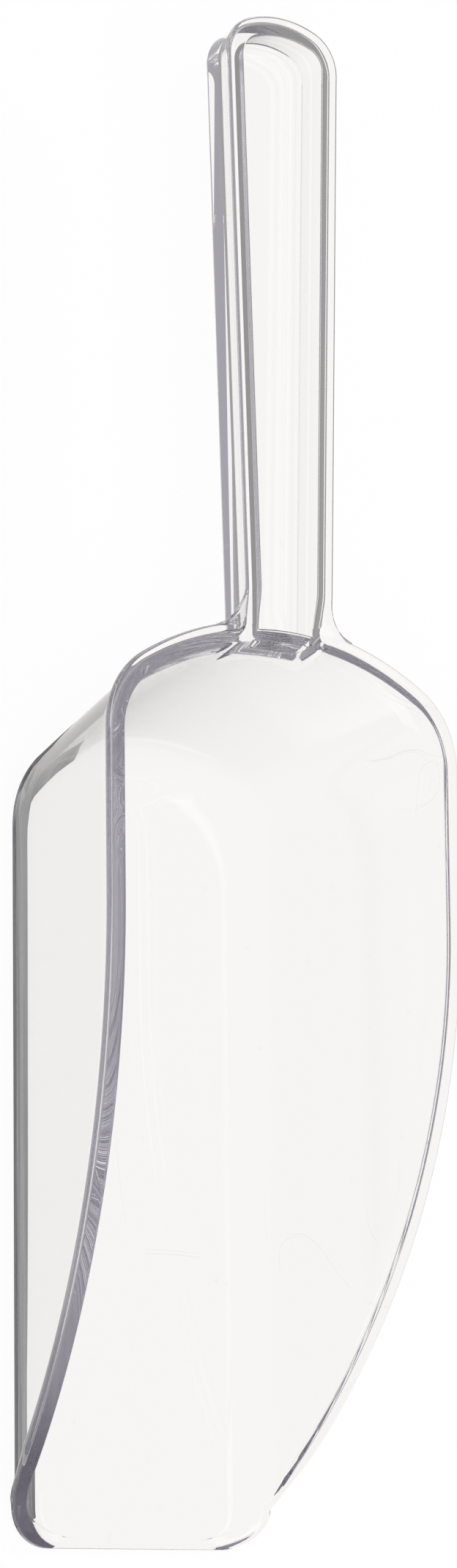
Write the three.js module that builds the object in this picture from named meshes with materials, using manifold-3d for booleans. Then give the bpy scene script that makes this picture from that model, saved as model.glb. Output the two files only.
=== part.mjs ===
// Ice scoop: a one-piece clear moulding, modelled as its bowl, the floor of its trough-shaped handle
// and the wall that runs round that floor. Millimetres, +Z up, lip towards -Y, handle towards +Y.
// The origin is the middle of the flat underside that the scoop rests on.
import * as THREE from "three";
import { mergeVertices } from "three/addons/utils/BufferGeometryUtils.js";
import Module from "manifold-3d";

const wasm = await Module();
wasm.setup();

// Bowl
const bowlLength = 141; // lip to the outer face of the back wall, at the rim
const bowlHeight = 42.4; // table to the flat part of the rim
const floorWidth = 49.6; // across the outer faces, run down to the table
const wall = 2; // floor and walls alike
const draft = THREE.MathUtils.degToRad(11.7); // how far the side walls lean out
const backDraft = THREE.MathUtils.degToRad(16.5); // how far the back wall leans out
const heelRadius = 8; // outer fillet between floor and walls
const backRadius = 44.5; // plan radius of the back wall, at the table
const backCorner = 13; // plan radius between the back and side walls
const lipCorner = 6.5; // plan radius of the two corners of the lip
const lipReach = 6; // tongue in front of the side walls
const lipRise = 2.8; // height of the tongue's two side edges
const mouthRadius = 124.5; // side walls sweep down to the floor on this arc

// Flange round the rim and round the handle's top
const flangeOut = 1.25;
const flangeHeight = 1.1;
const flangeFade = 9; // run behind the tongue in which the flange grows to its full width

// Handle, an open trough
const handleLength = 99.7; // from the back wall, at the rim, to the tip
const handleEndWidth = 19.8; // across the trough's outer faces, near the tip
const handleNeckWidth = 14.6; // across the trough's outer faces, at the bowl
const handleRise = 1.1; // handle's top above the bowl's rim
const handleDepth = 7.9; // handle's top to the trough's underside
const troughFloor = 2;
const troughWall = 2;
const tipRadius = 17.7; // plan radius of the rounded tip
const tipCorner = 5.5; // plan radius between the tip and the sides
const neckFillet = 5; // plan radius where the handle's sides run into the rim

const seam = 0.3; // clearance between the handle's pieces and the bowl
const arcStep = THREE.MathUtils.degToRad(6);
const cornerSteps = 10;
const backSteps = 8;

const plastic = { color: 0xe9ecee, roughness: 0.08, metalness: 0 };

const rimLean = bowlHeight * Math.tan(draft);
const backSlide = Math.tan(backDraft) / Math.tan(draft) - 1; // extra lean of the back wall
const lipY = -bowlLength / 2;
const backY = bowlLength / 2 - rimLean * (1 + backSlide);
const handleTop = bowlHeight + handleRise;
const heelGrow = (-heelRadius * (1 - Math.sin(draft))) / Math.cos(draft); // centre of the heel's fillet

function toSolid(geometry) {
  const bare = geometry.clone();
  bare.deleteAttribute("normal");
  bare.deleteAttribute("uv");
  const merged = mergeVertices(bare, 1e-4);
  const mesh = new wasm.Mesh({
    numProp: 3,
    vertProperties: new Float32Array(merged.attributes.position.array),
    triVerts: new Uint32Array(merged.index.array),
  });
  return new wasm.Manifold(mesh);
}

function toGeometry(solid) {
  const mesh = solid.getMesh();
  const geometry = new THREE.BufferGeometry();
  geometry.setAttribute("position", new THREE.BufferAttribute(new Float32Array(mesh.vertProperties), 3));
  geometry.setIndex(new THREE.BufferAttribute(new Uint32Array(mesh.triVerts), 1));
  geometry.computeVertexNormals();
  return geometry;
}

function arcPoints(centre, radius, from, to) {
  const steps = Math.max(2, Math.ceil(Math.abs(to - from) / arcStep));
  return evenArc(centre, radius, from, to, steps);
}

function evenArc(centre, radius, from, to, steps) {
  const points = [];
  for (let i = 0; i <= steps; i += 1) {
    const angle = from + ((to - from) * i) / steps;
    points.push(new THREE.Vector2(centre.x + radius * Math.cos(angle), centre.y + radius * Math.sin(angle)));
  }
  return points;
}

function mirrored(points) {
  return points.map((p) => new THREE.Vector2(-p.x, p.y)).reverse();
}

// Plan circle that the back wall follows once the walls have leaned out by lean.
function backCentre(lean) {
  return new THREE.Vector2(0, backY - backRadius + backSlide * lean);
}

// Plan outline of the bowl where its outer face has leaned out by lean, moved outwards by offset.
// It runs on past the lip.
function bowlOutline(lean, offset) {
  const half = floorWidth / 2 + lean + offset;
  const corner = backCorner + offset;
  const radius = backRadius + lean + offset;
  const centre = backCentre(lean);
  const cornerX = half - corner;
  const cornerRise = Math.sqrt((radius - corner) ** 2 - cornerX ** 2);
  const cornerCentre = new THREE.Vector2(cornerX, centre.y + cornerRise);
  const turn = Math.atan2(cornerRise, cornerX);
  const right = [
    new THREE.Vector2(half, lipY - heelRadius),
    ...evenArc(cornerCentre, corner, 0, turn, cornerSteps),
    ...evenArc(centre, radius, turn, Math.PI / 2, backSteps).slice(1),
  ];
  return [...right, ...mirrored(right).slice(1)];
}

// Wall section from the heel's quarter turn up the leaning wall to height top, as lean, offset and
// height. inset moves the whole section inwards.
function wallSection(inset, top) {
  const centre = new THREE.Vector2(0, 0);
  const heel = arcPoints(centre, 1, -Math.PI / 2, -draft).map((d) => ({
    lean: heelGrow + heelRadius * d.x,
    offset: -inset * d.x,
    z: heelRadius + (heelRadius - inset) * d.y,
  }));
  const rim = { lean: top * Math.tan(draft), offset: -inset / Math.cos(draft), z: top };
  return [...heel, rim];
}

// Closed skin through equal rings, with a flat cap at each end.
function loft(rings) {
  const count = rings[0].length;
  const positions = rings.flat().flatMap((p) => [p.x, p.y, p.z]);
  const index = [];
  for (let r = 0; r + 1 < rings.length; r += 1) {
    for (let i = 0; i < count; i += 1) {
      const a = r * count + i;
      const b = r * count + ((i + 1) % count);
      index.push(a, b, b + count, a, b + count, a + count);
    }
  }
  const outline = rings[0].map((p) => new THREE.Vector2(p.x, p.y));
  const last = (rings.length - 1) * count;
  THREE.ShapeUtils.triangulateShape(outline, []).forEach(([a, b, c]) => {
    index.push(a, c, b);
    index.push(last + a, last + b, last + c);
  });
  const geometry = new THREE.BufferGeometry();
  geometry.setAttribute("position", new THREE.Float32BufferAttribute(positions, 3));
  geometry.setIndex(index);
  return geometry;
}

function bowlBlock(inset, top, grow = 0) {
  const rings = wallSection(inset, top).map((s) =>
    bowlOutline(s.lean, s.offset + grow).map((p) => new THREE.Vector3(p.x, p.y, s.z)),
  );
  return toSolid(loft(rings));
}

// A plan outline raised from z = low to z = high.
function slab(points, low, high) {
  const geometry = new THREE.ExtrudeGeometry(new THREE.Shape(points), {
    depth: high - low,
    bevelEnabled: false,
  });
  geometry.translate(0, 0, low);
  return toSolid(geometry);
}

// A side outline, drawn as (y, z), carried right across the scoop.
function crossbar(points) {
  const halfSpan = floorWidth;
  const geometry = new THREE.ExtrudeGeometry(new THREE.Shape(points), {
    depth: 2 * halfSpan,
    bevelEnabled: false,
  });
  geometry.translate(0, 0, -halfSpan);
  const turn = new THREE.Matrix4().makeBasis(
    new THREE.Vector3(0, 1, 0),
    new THREE.Vector3(0, 0, 1),
    new THREE.Vector3(1, 0, 0),
  );
  geometry.applyMatrix4(turn);
  return toSolid(geometry);
}

// Side outline of the rim from the tongue up the mouth's arc and back to the flat rim, as (y, z),
// lowered by drop measured square to the edge.
function rimLine(drop) {
  const fall = bowlHeight - lipRise;
  const sweep = Math.acos(1 - fall / mouthRadius);
  const centre = new THREE.Vector2(
    lipY + lipReach + mouthRadius * Math.sin(sweep),
    bowlHeight - mouthRadius,
  );
  const arc = arcPoints(centre, mouthRadius - drop, Math.PI / 2 + sweep, Math.PI / 2);
  return [...arc, new THREE.Vector2(bowlLength, bowlHeight - drop)];
}

// Everything above the rim line and above the tongue's side edges.
function mouthCut() {
  const above = 2 * bowlHeight;
  return crossbar([
    new THREE.Vector2(-bowlLength, lipRise),
    ...rimLine(0),
    new THREE.Vector2(bowlLength, above),
    new THREE.Vector2(-bowlLength, above),
  ]);
}

// The strip just under the rim line that the flange fills.
function flangeStrip() {
  const upper = rimLine(0);
  const lower = rimLine(flangeHeight).reverse();
  return crossbar([...lower, ...upper]);
}

// Plan limit of the bowl: round the lip's corners, then opening out so that the flange fades in.
function lipPlan() {
  const reach = floorWidth;
  const half = floorWidth / 2 + heelGrow + Math.sqrt(heelRadius ** 2 - (heelRadius - lipRise) ** 2);
  const spread = flangeOut + flangeFade / 2;
  const corner = new THREE.Vector2(half - lipCorner, lipY + lipCorner);
  const right = [
    ...arcPoints(corner, lipCorner, -Math.PI / 2, 0),
    new THREE.Vector2(half + spread, lipY + lipReach + flangeFade),
    new THREE.Vector2(reach, lipY + lipReach + flangeFade),
    new THREE.Vector2(reach, bowlLength),
  ];
  return slab([...mirrored(right), ...right], -bowlHeight, 2 * bowlHeight);
}

function bowlSkin(clearance) {
  const flange = bowlBlock(0, bowlHeight, flangeOut + clearance).intersect(flangeStrip());
  return bowlBlock(0, bowlHeight, clearance).add(flange);
}

// Room for the bowl with the seam round it, carried on up past the handle's higher top.
function bowlRoom() {
  const ceiling = handleTop + wall;
  const foot = bowlHeight - flangeHeight / 2;
  const side = [[0, foot], [bowlLength, foot], [bowlLength, ceiling], [0, ceiling]];
  const above = crossbar(side.map(([y, z]) => new THREE.Vector2(y, z)));
  const column = bowlBlock(0, ceiling, flangeOut + seam).intersect(above);
  return bowlSkin(seam).add(column);
}

function makeBowl() {
  const inside = bowlBlock(wall, bowlHeight + wall);
  return bowlSkin(0).subtract(inside).intersect(lipPlan()).subtract(mouthCut());
}

// Plan outline of the handle's trough, grown outwards by grow. Its sides run into the bowl.
function handleOutline(grow) {
  const tipY = bowlLength / 2 + handleLength - flangeOut;
  const tipCentre = new THREE.Vector2(0, tipY - tipRadius);
  const cornerX = handleEndWidth / 2 - tipCorner;
  const cornerRise = Math.sqrt((tipRadius - tipCorner) ** 2 - cornerX ** 2);
  const cornerCentre = new THREE.Vector2(cornerX, tipCentre.y + cornerRise);
  const turn = Math.atan2(cornerRise, cornerX);
  const innerY = bowlLength / 2 - backRadius / 2;
  const right = [
    new THREE.Vector2(handleNeckWidth / 2 + grow, innerY),
    new THREE.Vector2(handleNeckWidth / 2 + grow, bowlLength / 2),
    ...arcPoints(cornerCentre, tipCorner + grow, 0, turn),
    ...arcPoints(tipCentre, tipRadius + grow, turn, Math.PI / 2).slice(1),
  ];
  return [...right, ...mirrored(right).slice(1)];
}

// Webs that round off both corners between the handle's sides and the rim.
function neckWebs(grow, low, high) {
  const rimRadius = backRadius + rimLean;
  const rimCentre = backCentre(rimLean);
  const side = handleNeckWidth / 2 + grow;
  const filletX = side + neckFillet;
  const reach = rimRadius + grow + neckFillet;
  const filletCentre = new THREE.Vector2(filletX, rimCentre.y + Math.sqrt(reach ** 2 - filletX ** 2));
  const turn = Math.atan2(filletCentre.y - rimCentre.y, filletX);
  const right = [
    new THREE.Vector2(0, rimCentre.y + rimRadius / 2),
    new THREE.Vector2((reach - neckFillet) * Math.cos(turn), rimCentre.y + rimRadius / 2),
    ...arcPoints(filletCentre, neckFillet, turn - Math.PI, -Math.PI),
    new THREE.Vector2(0, filletCentre.y),
  ];
  const web = slab(right, low, high);
  const other = slab(mirrored(right), low, high);
  return web.add(other);
}

function makeHandleFloor() {
  const low = handleTop - handleDepth;
  return slab(handleOutline(0), low, low + troughFloor).subtract(bowlRoom());
}

// The trough's wall with its flange. The hollow stops at the back wall so that the webs keep clear.
function makeHandleWall() {
  const top = handleTop;
  const foot = top - handleDepth + troughFloor;
  const core = slab(handleOutline(0), foot, top - flangeHeight / 2);
  const flange = slab(handleOutline(flangeOut), top - flangeHeight, top);
  const webs = neckWebs(flangeOut, top - flangeHeight, top);
  const hollow = slab(handleOutline(-troughWall), foot - troughFloor, top + troughFloor);
  return core.add(flange).add(webs).subtract(hollow).subtract(bowlRoom());
}

function piece(name, solid) {
  const mesh = new THREE.Mesh(toGeometry(solid), new THREE.MeshStandardMaterial(plastic));
  mesh.name = name;
  return mesh;
}

const scoop = new THREE.Group();
scoop.add(piece("bowl", makeBowl()));
scoop.add(piece("handle_floor", makeHandleFloor()));
scoop.add(piece("handle_wall", makeHandleWall()));

export default scoop;
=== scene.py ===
import math
import bmesh
import bpy
from mathutils import Matrix, Vector


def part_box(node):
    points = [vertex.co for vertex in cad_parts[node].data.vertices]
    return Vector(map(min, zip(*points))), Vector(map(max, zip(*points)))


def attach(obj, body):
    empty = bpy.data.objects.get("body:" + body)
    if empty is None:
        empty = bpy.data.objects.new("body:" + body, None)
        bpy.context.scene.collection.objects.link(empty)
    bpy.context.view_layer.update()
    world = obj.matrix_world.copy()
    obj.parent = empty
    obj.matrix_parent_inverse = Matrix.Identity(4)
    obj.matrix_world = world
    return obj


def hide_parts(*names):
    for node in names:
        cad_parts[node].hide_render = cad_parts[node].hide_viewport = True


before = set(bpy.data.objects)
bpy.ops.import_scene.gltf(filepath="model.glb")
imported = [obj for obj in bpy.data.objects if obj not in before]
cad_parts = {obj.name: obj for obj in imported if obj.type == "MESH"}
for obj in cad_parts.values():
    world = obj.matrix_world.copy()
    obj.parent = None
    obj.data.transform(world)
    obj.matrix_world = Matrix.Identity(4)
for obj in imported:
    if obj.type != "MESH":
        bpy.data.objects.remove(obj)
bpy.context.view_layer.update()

# Clear moulded ice scoop: the bowl and the trough-shaped handle are built as half grids in
# millimetres, mirrored across the middle and joined into one continuous moulding.
mm = 0.001
scene = bpy.context.scene


def boxInMm(node):
    return [[value / mm for value in corner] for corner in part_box(node)]


bowlLow, bowlHigh = boxInMm("bowl")
floorLow, floorHigh = boxInMm("handle_floor")
wallLow, wallHigh = boxInMm("handle_wall")
rimTop = bowlHigh[2]
lipY = bowlLow[1]
print("frame loaded, rim at", round(rimTop, 1), "mm")


def mix(a, b, t):
    return a + (b - a) * t


def clamp(value, low=0.0, high=1.0):
    return max(low, min(high, value))


def arcAngles(start, end, steps):
    return [mix(start, end, i / steps) for i in range(steps + 1)]


def filletRise(distance, radius):
    # how far a fillet of that radius has climbed at this distance from the wall it runs into
    if distance >= radius:
        return 0.0
    run = radius - max(distance, 0.0)
    return radius - math.sqrt(radius ** 2 - run ** 2)


meshing = {
    "weld": 0.002,                    # mm, points closer than this become one
    "sliver": 0.001,                  # mm, edges shorter than this go
    "sharpAngle": math.radians(32),   # steeper edges than this are shaded sharp
}


def halfGridMesh(name, rows, closeStart):
    # rows run along the half outline; each row is a section from the inside floor over the rim
    # to the underside. Both floors are closed with rungs to the middle plane.
    mesh = bmesh.new()
    grid = [[mesh.verts.new(point) for point in row] for row in rows]
    middle = [[mesh.verts.new((0, row[end][1], row[end][2])) for end in (0, -1)] for row in rows]
    for i in range(len(grid) - 1):
        for j in range(len(grid[i]) - 1):
            mesh.faces.new((grid[i][j], grid[i + 1][j], grid[i + 1][j + 1], grid[i][j + 1]))
        mesh.faces.new((middle[i][0], middle[i + 1][0], grid[i + 1][0], grid[i][0]))
        mesh.faces.new((grid[i][-1], grid[i + 1][-1], middle[i + 1][1], middle[i][1]))
    if closeStart:
        mesh.faces.new([middle[0][0], *grid[0], middle[0][1]])
    bmesh.ops.remove_doubles(mesh, verts=mesh.verts, dist=meshing["weld"])
    other = bmesh.ops.duplicate(mesh, geom=mesh.verts[:] + mesh.edges[:] + mesh.faces[:])
    for vert in (item for item in other["geom"] if isinstance(item, bmesh.types.BMVert)):
        vert.co.x = -vert.co.x
    bmesh.ops.remove_doubles(mesh, verts=mesh.verts, dist=meshing["weld"])
    bmesh.ops.dissolve_degenerate(mesh, edges=mesh.edges, dist=meshing["sliver"])
    bmesh.ops.recalc_face_normals(mesh, faces=mesh.faces)
    data = bpy.data.meshes.new(name)
    mesh.to_mesh(data)
    mesh.free()
    thing = bpy.data.objects.new(name, data)
    scene.collection.objects.link(thing)
    return thing


bowl = {
    "wall": 2.0,
    "draft": math.radians(11.7),      # lean of the side walls
    "backDraft": math.radians(16.5),  # lean of the back wall
    "heel": 8.0,                      # outer fillet between floor and walls
    "backRadius": 44.5,               # plan radius of the back wall, at the table
    "backCorner": 13.0,               # plan radius between back and side walls
    "lipCorner": 6.5,
    "lipReach": 6.0,
    "lipRise": 2.8,                   # height of the tongue's side edges
    "mouthRadius": 124.5,
    "mouthBlend": 2.2,                # softness of the bend between tongue and mouth
    "mouthBlendEnd": 12.0,            # above this height the softening fades out
    "flangeOut": 1.25,
    "flangeHeight": 1.1,
    "flangeFade": 9.0,                # run over which the flange grows along the mouth
    "flangeInside": 1.6,              # the back flange starts this far inside the neck
    "flangeRun": 1.2,                 # and is at full width after this run
    "flangeLowest": 0.6,              # its underside comes no lower than this
    "edge": 0.4,                      # rounding of the rim's top edges
    "flangeRound": 0.55,              # rounding of the flange's outer edges, above and below
    "flangeEdge": 0.5,
    "lipSetback": 1.4,
    "settleRounds": 6,                # rounds for a side station's rim height to settle
    "sideEase": 4,                    # how late along the side a station leans with the back corner
    "frontSteps": 1,
    "lipSteps": 10,
    "sideSteps": 96,
    "cornerSteps": 20,
    "backSteps": 26,
    "innerHeelSteps": 12,
    "innerWallSteps": 8,
    "edgeSteps": 5,
    "flangeEdgeSteps": 4,
    "flangeUnderSteps": 3,
    "outerWallSteps": 10,
    "outerHeelSteps": 14,
}
tanDraft = math.tan(bowl["draft"])
backSlide = math.tan(bowl["backDraft"]) / tanDraft - 1
floorHalf = bowlHigh[0] - bowl["flangeOut"] - rimTop * tanDraft
backRim = bowlHigh[1] - bowl["flangeOut"]
backY = backRim - rimTop * math.tan(bowl["backDraft"])
heelGrow = -bowl["heel"] * (1 - math.sin(bowl["draft"])) / math.cos(bowl["draft"])


def backCentreY(lean):
    return backY - bowl["backRadius"] + backSlide * lean


def outerBackY(x, z, offset=0.0):
    # y of the back wall's outer face, or of a face beside it
    lean = z * tanDraft
    return backCentreY(lean) + math.sqrt((bowl["backRadius"] + lean + offset) ** 2 - x ** 2)


def wallAt(z, inset):
    # lean and offset of the outer (inset 0) or inner (inset wall) face at height z
    heel = bowl["heel"]
    heelEnd = heel - (heel - inset) * math.sin(bowl["draft"])
    if z < heelEnd:
        drop = clamp((heel - z) / (heel - inset))
        across = math.sqrt(1 - drop ** 2)
        return heelGrow + heel * across, -inset * across
    return (z - inset * math.sin(bowl["draft"])) * tanDraft, -inset * math.cos(bowl["draft"])


def backCornerCentre(lean, offset):
    corner = bowl["backCorner"] + offset
    x = floorHalf + lean + offset - corner
    rise = math.sqrt((bowl["backRadius"] + lean + offset - corner) ** 2 - x ** 2)
    return x, backCentreY(lean) + rise, math.atan2(rise, x)


def mouthHeight(y):
    # rim height: tongue, then the mouth's arc, then the flat rim
    radius = bowl["mouthRadius"]
    sweep = math.acos(1 - (rimTop - bowl["lipRise"]) / radius)
    centreY = lipY + bowl["lipReach"] + radius * math.sin(sweep)
    if y >= centreY:
        return rimTop
    arc = rimTop - radius + math.sqrt(radius ** 2 - (centreY - y) ** 2)
    gap = arc - bowl["lipRise"]
    blended = bowl["lipRise"] + (gap + math.sqrt(gap ** 2 + bowl["mouthBlend"] ** 2)) / 2
    blendEnd = bowl["mouthBlendEnd"]
    return min(rimTop, mix(blended, arc, clamp((arc - blendEnd) / blendEnd)))


def bowlStations():
    stations = [("front", i / bowl["frontSteps"]) for i in range(bowl["frontSteps"])]
    stations += [("lip", angle) for angle in arcAngles(math.pi / 2, 0, bowl["lipSteps"])]
    stations += [("side", i / bowl["sideSteps"]) for i in range(1, bowl["sideSteps"])]
    stations += [("corner", i / bowl["cornerSteps"]) for i in range(bowl["cornerSteps"])]
    stations += [("back", i / bowl["backSteps"]) for i in range(bowl["backSteps"] + 1)]
    return stations


def bowlPlan(station, lean, offset):
    kind, value = station
    half = floorHalf + lean + offset
    lip = bowl["lipCorner"] + offset
    if kind == "front":
        return value * (half - lip), lipY - offset
    if kind == "lip":
        return half - lip + lip * math.cos(value), lipY + bowl["lipCorner"] - lip * math.sin(value)
    cornerX, cornerY, turn = backCornerCentre(lean, offset)
    if kind == "side":
        start = lipY + bowl["lipCorner"]
        rimLean, rimOffset = wallAt(rimTop, 0)
        rimCorner = backCornerCentre(rimLean, rimOffset)[1]
        shift = (cornerY - rimCorner) * value ** bowl["sideEase"]
        return half, mix(start, rimCorner, value) + shift
    if kind == "corner":
        radius = bowl["backCorner"] + offset
        return cornerX + radius * math.cos(turn * value), cornerY + radius * math.sin(turn * value)
    radius = bowl["backRadius"] + lean + offset
    angle = mix(turn, math.pi / 2, value)
    return radius * math.cos(angle), backCentreY(lean) + radius * math.sin(angle)


def rimAt(station):
    # rim height, flange width, flange drop and setback of the inside at a station
    kind, value = station
    flange, setback, slope = bowl["flangeOut"], 0.0, 0.0
    rim = rimTop
    if kind in ("front", "lip"):
        angle = math.pi / 2 if kind == "front" else value
        corner = mouthHeight(lipY + bowl["lipCorner"])
        rim = mix(bowl["wall"], corner, math.cos(angle) ** 2)
        flange = 0.0
        setback = bowl["lipSetback"] * math.sin(angle) ** 2
    if kind == "side":
        y = 0.0
        for _ in range(bowl["settleRounds"]):
            y = bowlPlan(station, *wallAt(rim, 0))[1]
            rim = mouthHeight(y)
        slope = mouthHeight(y + 0.5) - mouthHeight(y - 0.5)  # rise over one millimetre
        flange *= clamp((y - lipY - bowl["lipReach"]) / bowl["flangeFade"])
    if kind == "back":
        x = bowlPlan(station, *wallAt(rimTop, 0))[0]
        # none across the end of the trough
        flange *= clamp((x - handle["neckHalf"] + bowl["flangeInside"]) / bowl["flangeRun"])
    return rim, flange, bowl["flangeHeight"] * math.sqrt(1 + slope ** 2), setback


def bowlSection(rim, flange, drop, setback):
    wall, edge = bowl["wall"], bowl["edge"]
    points = []

    def add(z, inset, push=0.0):
        lean, offset = wallAt(z, inset)
        points.append((lean, offset + push, z))

    heel = bowl["heel"]
    innerEdge = min(edge, max(0.0, rim - wall) / 2)
    innerTop = rim - innerEdge
    heelEnd = heel - (heel - wall) * math.sin(bowl["draft"])
    endAngle = math.asin(clamp((heel - min(innerTop, heelEnd)) / (heel - wall)))
    for angle in arcAngles(math.pi / 2, endAngle, bowl["innerHeelSteps"]):
        add(heel - (heel - wall) * math.sin(angle), wall, -setback)
    for i in range(1, bowl["innerWallSteps"] + 1):
        add(mix(min(innerTop, heelEnd), innerTop, i / bowl["innerWallSteps"]), wall, -setback)
    lean, offset = wallAt(rim, wall)
    for angle in arcAngles(0, math.pi / 2, bowl["edgeSteps"])[1:]:
        rounded = innerEdge * (1 - math.cos(angle)) - setback
        points.append((lean, offset + rounded, innerTop + innerEdge * math.sin(angle)))
    lean = wallAt(rim, 0)[0]
    outer = mix(edge, bowl["flangeRound"], flange / bowl["flangeOut"])
    for angle in arcAngles(math.pi / 2, 0, bowl["edgeSteps"]):
        z = rim - outer + outer * math.sin(angle)
        points.append((lean, flange - outer + outer * math.cos(angle), z))
    low = max(rim - drop, bowl["flangeLowest"])
    small = min(bowl["flangeEdge"], flange / 2)
    for angle in arcAngles(0, math.pi / 2, bowl["flangeEdgeSteps"]):
        z = low + small - small * math.sin(angle)
        points.append((lean, flange - small + small * math.cos(angle), z))
    for angle in arcAngles(0, math.pi / 2, bowl["flangeUnderSteps"]):
        z = low - small + small * math.cos(angle)
        add(z, 0, small - small * math.sin(angle))
    outerTop = low - small
    heelEnd = heel * (1 - math.sin(bowl["draft"]))
    for i in range(1, bowl["outerWallSteps"] + 1):
        add(mix(outerTop, min(outerTop, heelEnd), i / bowl["outerWallSteps"]), 0)
    startAngle = math.asin(clamp((heel - min(outerTop, heelEnd)) / heel))
    for angle in arcAngles(startAngle, math.pi / 2, bowl["outerHeelSteps"])[1:]:
        add(heel * (1 - math.sin(angle)), 0)
    return points


def buildBowl():
    rows = []
    for station in bowlStations():
        section = bowlSection(*rimAt(station))
        rows.append([(*bowlPlan(station, lean, offset), z) for lean, offset, z in section])
    return halfGridMesh("bowl_half", rows, False)


handle = {
    "neckHalf": 7.3,                # half width of the trough at the bowl
    "endHalf": floorHigh[0],        # half width of the trough at the tip
    "under": floorLow[2],
    "floorTop": floorHigh[2],
    "rise": wallHigh[2] - rimTop,   # the handle's top stands this much above the bowl's rim
    "riseRun": 7.0,
    "wall": 2.0,
    "tipRadius": 17.7,
    "tipCorner": 5.5,
    "smallestCorner": 0.5,
    "floorFillet": 1.5,             # inside, between floor and walls
    "underRounding": 1.1,
    "edge": 0.4,
    "scoopEnd": 0.8,                # the trough's floor meets the back wall on this radius
    "neckFillet": 5.0,
    "rootFillet": 1.4,              # outside, between the trough and the bowl
    "reach": 16.0,                  # run over which the sections turn to follow the back wall
    "sink": 0.03,                   # keeps the root's flat faces just inside the bowl's own
    "sinkRun": 6.0,
    "tipEase": 6,                   # how late along the side a station moves with the tip's corner
    "cornerSteps": 12,
    "tipSteps": 16,
    "roots": [-1.0, -0.5, 0.0],     # runs of the sections inside the bowl's back wall
    "firstStep": 0.25,              # side sections start this close and spread out
    "stepGrowth": 0.12,
    "sideStep": 1.6,
    "filletSteps": 8,
    "wallSteps": 3,
}
tipY = wallHigh[1] - bowl["flangeOut"]


def tipPlan(offset):
    # corner centre, corner radius and turn angle of the rounded tip
    corner = max(handle["tipCorner"] + offset, handle["smallestCorner"])
    radius = handle["tipRadius"] + offset
    x = handle["endHalf"] + offset - corner
    rise = math.sqrt((radius - corner) ** 2 - x ** 2)
    return x, tipY - handle["tipRadius"] + rise, corner, math.atan2(rise, x)


def handleStations():
    start = outerBackY(handle["neckHalf"], rimTop)
    end = tipPlan(0)[1] - start
    runs = list(handle["roots"])
    while runs[-1] < end:
        step = handle["firstStep"] + runs[-1] * handle["stepGrowth"]
        runs.append(runs[-1] + min(handle["sideStep"], step))
    stations = [("side", run / end) for run in runs[:-1]]
    stations += [("corner", i / handle["cornerSteps"]) for i in range(handle["cornerSteps"] + 1)]
    stations += [("tip", i / handle["tipSteps"]) for i in range(1, handle["tipSteps"] + 1)]
    return stations


def handlePoint(station, offset, z, outside):
    kind, value = station
    cornerX, cornerY, corner, turn = tipPlan(offset)
    if kind == "corner":
        angle = turn * value
        return cornerX + corner * math.cos(angle), cornerY + corner * math.sin(angle), z
    if kind == "tip":
        radius = handle["tipRadius"] + offset
        angle = mix(turn, math.pi / 2, value)
        centreY = tipY - handle["tipRadius"]
        return radius * math.cos(angle), centreY + radius * math.sin(angle), z
    start = outerBackY(handle["neckHalf"], rimTop)
    run = (tipPlan(0)[1] - start) * value
    x = mix(handle["neckHalf"], handle["endHalf"], clamp(value)) + offset
    if outside:
        flangeShare = clamp(offset / bowl["flangeOut"])
        rooted = filletRise(run, handle["rootFillet"])
        webbed = filletRise(run - bowl["flangeOut"], handle["neckFillet"])
        x += mix(rooted, webbed, flangeShare)
    follow = clamp(1 - run / handle["reach"]) ** 2
    y = start + run + (cornerY - tipPlan(0)[1]) * clamp(value) ** handle["tipEase"]
    return x, y + (outerBackY(x, z) - start) * follow, z


def handleSection(station):
    kind, value = station
    flange, edge = bowl["flangeOut"], handle["edge"]
    run = handle["reach"]
    if kind == "side":
        run = (tipPlan(0)[1] - outerBackY(handle["neckHalf"], rimTop)) * value
    floorTop = handle["floorTop"] + filletRise(run, handle["scoopEnd"])
    under = handle["under"] - filletRise(run, handle["rootFillet"])
    fillet = handle["floorFillet"]
    rounding = handle["underRounding"]
    sink = handle["sink"] * clamp(1 - run / handle["sinkRun"])
    ramp = clamp(run / handle["riseRun"])
    level = rimTop + handle["rise"] * ramp * ramp * (3 - 2 * ramp)
    wall, top, low = handle["wall"], level - sink, level - bowl["flangeHeight"] + sink
    small = bowl["flangeEdge"]
    quarter = math.pi / 2
    points = []
    for angle in arcAngles(0, quarter, handle["filletSteps"]):
        z = floorTop + fillet - fillet * math.cos(angle)
        points.append((-wall - fillet + fillet * math.sin(angle), z, False))
    for i in range(1, handle["wallSteps"] + 1):
        points.append((-wall, mix(floorTop + fillet, top - edge, i / handle["wallSteps"]), False))
    for angle in arcAngles(0, quarter, bowl["edgeSteps"])[1:]:
        z = top - edge + edge * math.sin(angle)
        points.append((-wall + edge - edge * math.cos(angle), z, False))
    for angle in arcAngles(quarter, 0, bowl["edgeSteps"]):
        z = top - edge + edge * math.sin(angle)
        points.append((flange - edge + edge * math.cos(angle), z, True))
    for angle in arcAngles(0, quarter, bowl["flangeEdgeSteps"]):
        z = low + small - small * math.sin(angle)
        points.append((flange - small + small * math.cos(angle), z, True))
    for angle in arcAngles(0, quarter, bowl["flangeUnderSteps"]):
        z = low - small + small * math.cos(angle)
        points.append((small - small * math.sin(angle), z, True))
    for i in range(1, handle["wallSteps"] + 1):
        points.append((0.0, mix(low - small, under + rounding, i / handle["wallSteps"]), True))
    for angle in arcAngles(0, quarter, handle["filletSteps"])[1:]:
        z = under + rounding - rounding * math.sin(angle)
        points.append((-rounding + rounding * math.cos(angle), z, True))
    return points


def buildHandle():
    rows = []
    for station in handleStations():
        section = handleSection(station)
        rows.append([handlePoint(station, offset, z, outside) for offset, z, outside in section])
    return halfGridMesh("handle_half", rows, True)


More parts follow.
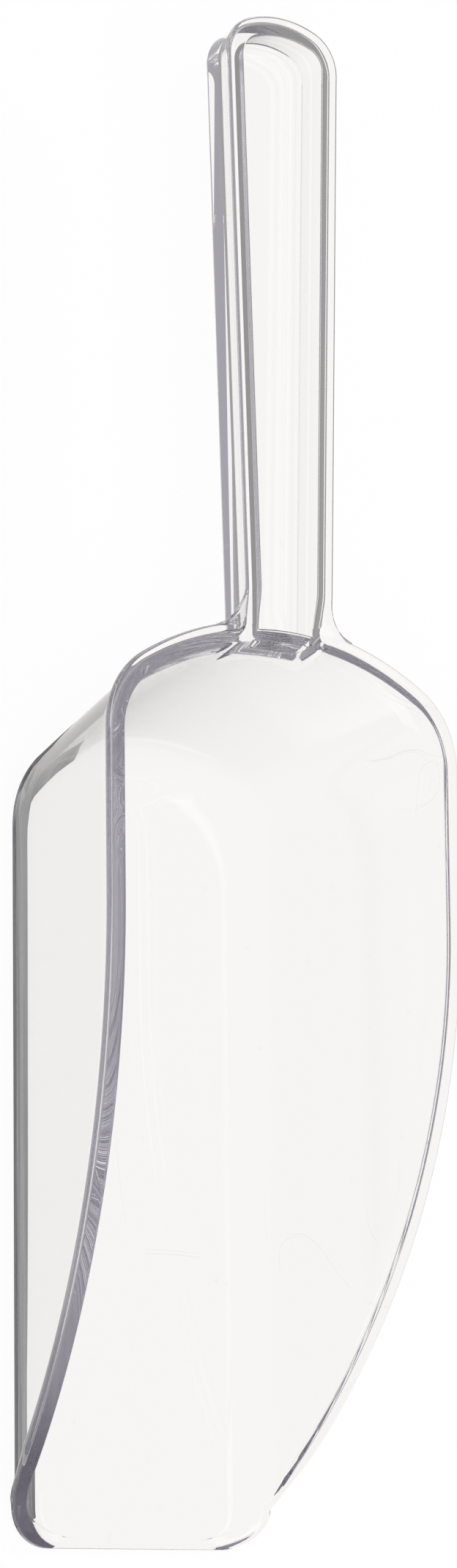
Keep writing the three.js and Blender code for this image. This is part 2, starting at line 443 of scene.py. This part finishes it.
def mathSocket(tree, operation, *values):
    # a Math node fed with sockets and plain numbers
    node = tree.nodes.new("ShaderNodeMath")
    node.operation = operation
    for value, socket in zip(values, node.inputs):
        if isinstance(value, bpy.types.NodeSocket):
            tree.links.new(value, socket)
        else:
            socket.default_value = value
    return node.outputs[0]


def mixedColour(tree, share, first, second):
    # a Mix node keeps its colour sockets at these places
    firstColour, secondColour, result = 6, 7, 2
    node = tree.nodes.new("ShaderNodeMix")
    node.data_type = "RGBA"
    node.inputs[firstColour].default_value = first
    node.inputs[secondColour].default_value = second
    tree.links.new(share, node.inputs[0])
    return node.outputs[result]


def noiseSocket(tree, place, scale, detail=None):
    node = tree.nodes.new("ShaderNodeTexNoise")
    node.inputs["Scale"].default_value = scale
    if detail is not None:
        node.inputs["Detail"].default_value = detail
    tree.links.new(place, node.inputs["Vector"])
    return node.outputs["Fac"]


def stretched(tree, place, scale, turn=0.0):
    node = tree.nodes.new("ShaderNodeMapping")
    node.inputs["Rotation"].default_value = (0, 0, turn)
    node.inputs["Scale"].default_value = scale
    tree.links.new(place, node.inputs["Vector"])
    return node.outputs[0]


def ramped(tree, value, low, high):
    # 0 up to low, 1 from high, a ramp between
    node = tree.nodes.new("ShaderNodeMapRange")
    node.inputs["From Min"].default_value = low
    node.inputs["From Max"].default_value = high
    tree.links.new(value, node.inputs["Value"])
    return node.outputs[0]


plastic = {
    "ior": 1.57,
    "tint": (0.80, 0.79, 0.83, 1),
    "density": 12,
    "scratchScale": 60.0,          # fine handling scratches, slightly bent
    "scratchRuns": [               # turn, and how much each direction is drawn out
        (0.45, (1.0, 0.06, 1.0)),
        (-0.8, (0.05, 1.0, 1.0)),
    ],
    "scratchMiddle": 0.5,
    "scratchWidth": 0.006,
    "scratchBend": 0.002,
    "bendScale": 30.0,
    "patchScale": 26.0,            # scratches keep to patches
    "patchFrom": 0.6,
    "patchTo": 0.72,
    "scratchHaze": 0.1,
    "speckScale": 170.0,
    "speckSize": 0.05,
    "bumpDistance": 0.00002,
}


def surfaceMarks(tree):
    # thin bent lines where a stretched noise crosses its middle value, and a few specks
    nodes, links = tree.nodes, tree.links
    place = nodes.new("ShaderNodeTexCoord").outputs["Object"]
    bend = nodes.new("ShaderNodeTexNoise")
    bend.inputs["Scale"].default_value = plastic["bendScale"]
    bent = nodes.new("ShaderNodeVectorMath")
    bent.operation = "MULTIPLY_ADD"
    bent.inputs[1].default_value = (plastic["scratchBend"],) * 3
    links.new(place, bend.inputs["Vector"])
    links.new(bend.outputs["Color"], bent.inputs[0])
    links.new(place, bent.inputs[2])
    runs = []
    for turn, scale in plastic["scratchRuns"]:
        drawn = stretched(tree, bent.outputs[0], scale, turn)
        lines = noiseSocket(tree, drawn, plastic["scratchScale"], 0)
        middle, width = plastic["scratchMiddle"], plastic["scratchWidth"]
        runs.append(mathSocket(tree, "COMPARE", lines, middle, width))
    scratches = mathSocket(tree, "MAXIMUM", *runs)
    patches = noiseSocket(tree, place, plastic["patchScale"])
    patches = ramped(tree, patches, plastic["patchFrom"], plastic["patchTo"])
    scratches = mathSocket(tree, "MULTIPLY", scratches, patches)
    cells = nodes.new("ShaderNodeTexVoronoi")
    cells.inputs["Scale"].default_value = plastic["speckScale"]
    links.new(place, cells.inputs["Vector"])
    specks = mathSocket(tree, "LESS_THAN", cells.outputs["Distance"], plastic["speckSize"])
    return mathSocket(tree, "MAXIMUM", scratches, specks)


def clearPlastic():
    material = bpy.data.materials.new("clear_plastic")
    material.use_nodes = True
    tree = material.node_tree
    nodes, links = tree.nodes, tree.links
    shader = nodes["Principled BSDF"]
    shader.inputs["Base Color"].default_value = (1, 1, 1, 1)
    shader.inputs["Transmission Weight"].default_value = 1
    shader.inputs["IOR"].default_value = plastic["ior"]
    marks = surfaceMarks(tree)
    haze = mathSocket(tree, "MULTIPLY", marks, plastic["scratchHaze"])
    links.new(haze, shader.inputs["Roughness"])
    bump = nodes.new("ShaderNodeBump")
    bump.invert = True
    bump.inputs["Distance"].default_value = plastic["bumpDistance"]
    links.new(marks, bump.inputs["Height"])
    links.new(bump.outputs[0], shader.inputs["Normal"])
    absorb = nodes.new("ShaderNodeVolumeAbsorption")
    absorb.inputs["Color"].default_value = plastic["tint"]
    absorb.inputs["Density"].default_value = plastic["density"]
    links.new(absorb.outputs[0], nodes["Material Output"].inputs["Volume"])
    return material


def joinMoulding():
    body, grip = buildBowl(), buildHandle()
    print("half grids done:", len(body.data.polygons), "and", len(grip.data.polygons), "faces")
    union = body.modifiers.new("join", "BOOLEAN")
    union.operation, union.solver, union.object = "UNION", "EXACT", grip
    graph = bpy.context.evaluated_depsgraph_get()
    data = bpy.data.meshes.new_from_object(body.evaluated_get(graph))
    clean = bmesh.new()
    clean.from_mesh(data)
    bmesh.ops.dissolve_degenerate(clean, edges=clean.edges, dist=meshing["sliver"])
    bmesh.ops.remove_doubles(clean, verts=clean.verts, dist=meshing["sliver"])
    clean.to_mesh(data)
    clean.free()
    data.transform(Matrix.Scale(mm, 4))
    moulding = bpy.data.objects.new("scoop_moulding", data)
    scene.collection.objects.link(moulding)
    for spare in (body, grip):
        bpy.data.objects.remove(spare)
    data.shade_smooth()
    data.set_sharp_from_angle(angle=meshing["sharpAngle"])
    data.materials.clear()
    data.materials.append(clearPlastic())
    print("moulding joined:", len(data.polygons), "faces")
    return moulding


moulding = joinMoulding()
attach(moulding, "root")
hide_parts("bowl", "handle_floor", "handle_wall")


studio = {
    "floorSize": 4.0,
    "floorHeight": -0.0003,                  # just under the foot
    "floorColour": (0.8, 0.8, 0.8, 1),
    "backgroundColour": (1.0, 1.0, 1.0, 1),
    "throughColour": (1.0, 0.987, 0.97, 1),  # a little warmer through the plastic
    "backgroundShare": 0.95,
    "roomColour": (0.34, 0.33, 0.365, 1),
    "turnedLevel": 0.3,                      # floor level for light that turned inside a wall
    "straightDepth": 1.5,                    # ray depths below this are never dimmed
    "bounces": 96,                           # light runs a long way inside clear walls
}


def floorMaterial():
    # white to the eye and through the plastic, with a little of the object's own shadow left in it
    material = bpy.data.materials.new("studio_floor")
    material.use_nodes = True
    tree = material.node_tree
    nodes, links = tree.nodes, tree.links
    nodes.clear()
    output = nodes.new("ShaderNodeOutputMaterial")
    blend = nodes.new("ShaderNodeMixShader")
    glow = nodes.new("ShaderNodeEmission")
    matt = nodes.new("ShaderNodeBsdfDiffuse")
    path = nodes.new("ShaderNodeLightPath").outputs
    camera = path["Is Camera Ray"]
    colour = mixedColour(tree, camera, studio["throughColour"], studio["backgroundColour"])
    links.new(colour, glow.inputs["Color"])
    matt.inputs["Color"].default_value = studio["floorColour"]
    # an odd ray depth above one mostly means that the light turned inside a wall: the floor is
    # dimmer for it, which greys the bends. This is a studio trick, not how a real floor behaves.
    odd = mathSocket(tree, "MODULO", path["Ray Depth"], 2)
    later = mathSocket(tree, "GREATER_THAN", path["Ray Depth"], studio["straightDepth"])
    dim = nodes.new("ShaderNodeMapRange")
    dim.inputs["To Min"].default_value = 1
    dim.inputs["To Max"].default_value = studio["turnedLevel"]
    links.new(mathSocket(tree, "MULTIPLY", odd, later), dim.inputs["Value"])
    links.new(mathSocket(tree, "MAXIMUM", dim.outputs[0], camera), glow.inputs["Strength"])
    direct = mathSocket(tree, "MULTIPLY", camera, studio["backgroundShare"])
    seen = mathSocket(tree, "MAXIMUM", path["Is Glossy Ray"], path["Is Transmission Ray"])
    links.new(mathSocket(tree, "MAXIMUM", seen, direct), blend.inputs[0])
    links.new(matt.outputs[0], blend.inputs[1])
    links.new(glow.outputs[0], blend.inputs[2])
    links.new(blend.outputs[0], output.inputs[0])
    return material


def glowMaterial(name):
    # a bare emission material, and its Emission node
    material = bpy.data.materials.new(name)
    material.use_nodes = True
    tree = material.node_tree
    tree.nodes.clear()
    output = tree.nodes.new("ShaderNodeOutputMaterial")
    glow = tree.nodes.new("ShaderNodeEmission")
    tree.links.new(glow.outputs[0], output.inputs[0])
    return material, glow


def stageSheet(name, corners, z, material):
    data = bpy.data.meshes.new(name)
    data.from_pydata([(x, y, z) for x, y in corners], [], [tuple(range(len(corners)))])
    sheet = bpy.data.objects.new(name, data)
    scene.collection.objects.link(sheet)
    data.materials.append(material)
    return sheet


def makeFloor():
    half = studio["floorSize"] / 2
    corners = [(-half, -half), (half, -half), (half, half), (-half, half)]
    stageSheet("studio_floor", corners, studio["floorHeight"], floorMaterial())


footShadow = {
    # a dark card on the floor under the left foot, hidden from the camera: the foot's bend picks
    # it up. From the top and the right it shows through the bowl's floor as a dark line.
    "corners": [
        (-19.6, -66), (-19.4, -30), (-19.2, 43), (-18.3, 49), (-14.5, 54.5), (-11, 57.8),
        (-12, 63), (-19, 59.5), (-25, 51), (-26.5, 43), (-26.5, -66), (-25, -70),
    ],
    "height": -0.0001,
    "dark": (0.09, 0.09, 0.095, 1),
    "light": (0.26, 0.255, 0.26, 1),
    "streaks": (420, 24, 1),  # streaks run along the foot
    "streakDetail": 3,
    "streakFrom": 0.4,
    "streakTo": 0.75,
}


def shadowMaterial():
    material, glow = glowMaterial("foot_shadow")
    tree = material.node_tree
    place = tree.nodes.new("ShaderNodeNewGeometry").outputs["Position"]
    streaks = stretched(tree, place, footShadow["streaks"])
    streaks = noiseSocket(tree, streaks, 1, footShadow["streakDetail"])
    share = ramped(tree, streaks, footShadow["streakFrom"], footShadow["streakTo"])
    tone = mixedColour(tree, share, footShadow["dark"], footShadow["light"])
    tree.links.new(tone, glow.inputs["Color"])
    return material


def hideFromView(sheet):
    # left to glossy and transmission rays only
    sheet.visible_camera = False
    sheet.visible_diffuse = False
    sheet.visible_shadow = False


def makeFootShadow():
    corners = [(x * mm, y * mm) for x, y in footShadow["corners"]]
    sheet = stageSheet("foot_shadow", corners, footShadow["height"], shadowMaterial())
    hideFromView(sheet)


softbox = {"low": (0.45, -0.6), "high": (0.66, 0.85), "height": 1.0, "strength": 1.0}


def makeSoftbox():
    # a white panel overhead to the right, for the highlights
    material, glow = glowMaterial("softbox")
    glow.inputs["Strength"].default_value = softbox["strength"]
    (x0, y0), (x1, y1) = softbox["low"], softbox["high"]
    corners = [(x0, y0), (x0, y1), (x1, y1), (x1, y0)]
    hideFromView(stageSheet("softbox", corners, softbox["height"], material))


def makeRoom():
    # white where the camera looks past everything, a dim room for the plastic
    world = bpy.data.worlds.new("studio")
    scene.world = world
    world.use_nodes = True
    tree = world.node_tree
    camera = tree.nodes.new("ShaderNodeLightPath").outputs["Is Camera Ray"]
    colour = mixedColour(tree, camera, studio["roomColour"], studio["backgroundColour"])
    tree.links.new(colour, tree.nodes["Background"].inputs["Color"])


lamps = [
    {"name": "key", "place": (-0.6, -0.3, 1.2), "size": 0.8, "power": 14},
    {"name": "fill", "place": (0.8, 0.5, 1.0), "size": 0.6, "power": 8},
]


def makeLamps():
    for lamp in lamps:
        light = bpy.data.lights.new(lamp["name"], "AREA")
        light.size, light.energy = lamp["size"], lamp["power"]
        thing = bpy.data.objects.new(lamp["name"], light)
        scene.collection.objects.link(thing)
        thing.location = lamp["place"]
        thing.visible_glossy = False  # no square lights in the flat faces
        thing.visible_transmission = False
        thing.rotation_euler = (-Vector(lamp["place"])).to_track_quat("-Z", "Y").to_euler()


view = {
    "yaw": math.radians(38.03),    # turn about the scoop's length, towards -X
    "pitch": math.radians(10.03),  # tip towards the lip
    "roll": math.radians(-0.62),
    "distance": 0.81821,
    "aimRight": 0.01625,           # aim point from the frame's origin, across and up the view
    "aimUp": 0.05155,
    "lens": 117.1,
    "sensor": 36,
    "clipStart": 0.01,
}


def makeCamera():
    yaw, pitch = view["yaw"], view["pitch"]
    level = math.cos(pitch)
    back = Vector((-math.sin(yaw) * level, -math.sin(pitch), math.cos(yaw) * level))
    right = Vector((0, 1, 0)).cross(back).normalized()
    up = back.cross(right)
    turn = Matrix.Rotation(view["roll"], 3, back)
    right, up = turn @ right, turn @ up
    place = right * view["aimRight"] + up * view["aimUp"] + back * view["distance"]
    data = bpy.data.cameras.new("camera")
    data.sensor_width, data.lens, data.clip_start = view["sensor"], view["lens"], view["clipStart"]
    camera = bpy.data.objects.new("camera", data)
    scene.collection.objects.link(camera)
    rows = [[right[i], up[i], back[i], place[i]] for i in range(3)]
    camera.matrix_world = Matrix(rows + [[0, 0, 0, 1]])
    scene.camera = camera


makeFloor()
makeFootShadow()
makeSoftbox()
makeRoom()
makeLamps()
makeCamera()
scene.view_settings.view_transform = "Standard"
for kind in ("max_bounces", "glossy_bounces", "transmission_bounces"):
    setattr(scene.cycles, kind, studio["bounces"])
print("studio ready")
